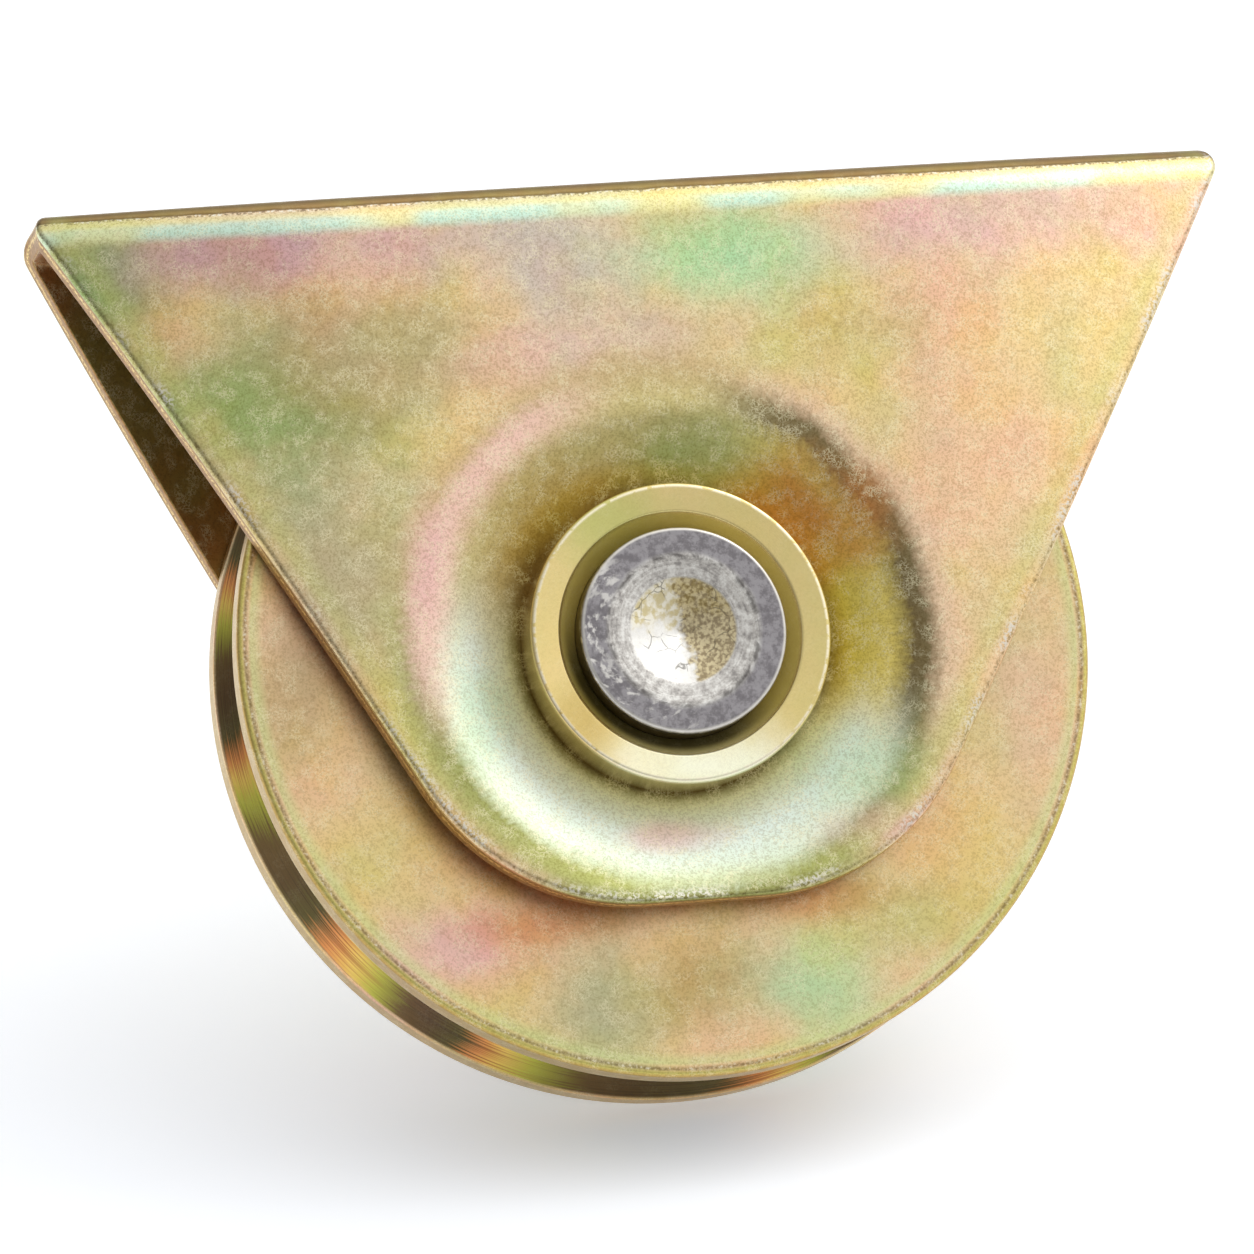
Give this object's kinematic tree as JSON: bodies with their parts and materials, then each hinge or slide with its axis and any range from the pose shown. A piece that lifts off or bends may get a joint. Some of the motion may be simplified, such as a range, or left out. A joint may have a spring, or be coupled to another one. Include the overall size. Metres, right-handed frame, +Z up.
{
  "type": "v-groove guide wheel",
  "caption": "Turned steel V-groove wheel on a shielded ball bearing, carried by a swaged pin in a folded sheet bracket with dished wings.",
  "frame": {"origin": "wheel's centre: on the axle, in the middle of the groove", "axes": "+X along the rail, +Y along the axle, away from the picture's front side, +Z up to the gate that the bracket carries"},
  "size_m": [0.113, 0.0346, 0.0853],
  "materials": {
    "yellow_zinc_sheet": "yellow zinc passivation on folded sheet steel, iridescent, orange peel and fine scratches",
    "yellow_zinc_wheel": "yellow zinc passivation on turned steel, darker and browner in the groove",
    "yellow_zinc_collar": "yellow zinc passivation on a turned collar",
    "bare_pin_steel": "grey turned and swaged steel",
    "plain_steel": "turned steel",
    "spring_steel": "phosphated spring steel",
    "bearing_steel": "ground bearing steel",
    "shield_steel": "pressed sheet steel",
    "cage_steel": "pressed sheet steel",
    "ball_steel": "polished ball"
  },
  "bodies": {
    "frame": {"bracket": "yellow_zinc_sheet", "axle_pin": "bare_pin_steel", "collar_front": "yellow_zinc_collar", "collar_rear": "yellow_zinc_collar", "spacer_front": "plain_steel", "spacer_rear": "plain_steel", "bearing_inner_ring": "bearing_steel"},
    "wheel": {"wheel": "yellow_zinc_wheel", "bearing_outer_ring": "bearing_steel", "bearing_shield_front": "shield_steel", "bearing_shield_rear": "shield_steel", "retaining_ring": "spring_steel"},
    "cage": {"bearing_cage_front": "cage_steel", "bearing_cage_rear": "cage_steel", "cage_rivet_1": "cage_steel", "cage_rivet_2": "cage_steel", "cage_rivet_3": "cage_steel", "cage_rivet_4": "cage_steel", "cage_rivet_5": "cage_steel", "cage_rivet_6": "cage_steel", "cage_rivet_7": "cage_steel", "cage_rivet_8": "cage_steel"},
    "ball_1": {"bearing_ball_1": "ball_steel"},
    "ball_2": {"bearing_ball_2": "ball_steel"},
    "ball_3": {"bearing_ball_3": "ball_steel"},
    "ball_4": {"bearing_ball_4": "ball_steel"},
    "ball_5": {"bearing_ball_5": "ball_steel"},
    "ball_6": {"bearing_ball_6": "ball_steel"},
    "ball_7": {"bearing_ball_7": "ball_steel"},
    "ball_8": {"bearing_ball_8": "ball_steel"}
  },
  "joints": [
    {"name": "wheel_spin", "type": "hinge", "parent": "frame", "child": "wheel", "pos_m": [0, 0, 0], "axis": [0, 1, 0], "continuous": true},
    {"name": "cage_spin", "type": "hinge", "parent": "frame", "child": "cage", "pos_m": [0, 0, 0], "axis": [0, 1, 0], "continuous": true},
    {"name": "ball_1_spin", "type": "hinge", "parent": "cage", "child": "ball_1", "pos_m": [0.01425, 0, 0], "axis": [0, 1, 0], "continuous": true},
    {"name": "ball_2_spin", "type": "hinge", "parent": "cage", "child": "ball_2", "pos_m": [0.01008, 0, -0.01008], "axis": [0, 1, 0], "continuous": true},
    {"name": "ball_3_spin", "type": "hinge", "parent": "cage", "child": "ball_3", "pos_m": [0, 0, -0.01425], "axis": [0, 1, 0], "continuous": true},
    {"name": "ball_4_spin", "type": "hinge", "parent": "cage", "child": "ball_4", "pos_m": [-0.01008, 0, -0.01008], "axis": [0, 1, 0], "continuous": true},
    {"name": "ball_5_spin", "type": "hinge", "parent": "cage", "child": "ball_5", "pos_m": [-0.01425, 0, 0], "axis": [0, 1, 0], "continuous": true},
    {"name": "ball_6_spin", "type": "hinge", "parent": "cage", "child": "ball_6", "pos_m": [-0.01008, 0, 0.01008], "axis": [0, 1, 0], "continuous": true},
    {"name": "ball_7_spin", "type": "hinge", "parent": "cage", "child": "ball_7", "pos_m": [0, 0, 0.01425], "axis": [0, 1, 0], "continuous": true},
    {"name": "ball_8_spin", "type": "hinge", "parent": "cage", "child": "ball_8", "pos_m": [0.01008, 0, 0.01008], "axis": [0, 1, 0], "continuous": true}
  ],
  "couplings": [
    {"joint": "cage_spin", "follows": "wheel_spin", "ratio": 0.61842},
    {"joint": "ball_1_spin", "follows": "wheel_spin", "ratio": 1.9927},
    {"joint": "ball_2_spin", "follows": "wheel_spin", "ratio": 1.9927},
    {"joint": "ball_3_spin", "follows": "wheel_spin", "ratio": 1.9927},
    {"joint": "ball_4_spin", "follows": "wheel_spin", "ratio": 1.9927},
    {"joint": "ball_5_spin", "follows": "wheel_spin", "ratio": 1.9927},
    {"joint": "ball_6_spin", "follows": "wheel_spin", "ratio": 1.9927},
    {"joint": "ball_7_spin", "follows": "wheel_spin", "ratio": 1.9927},
    {"joint": "ball_8_spin", "follows": "wheel_spin", "ratio": 1.9927}
  ]
}
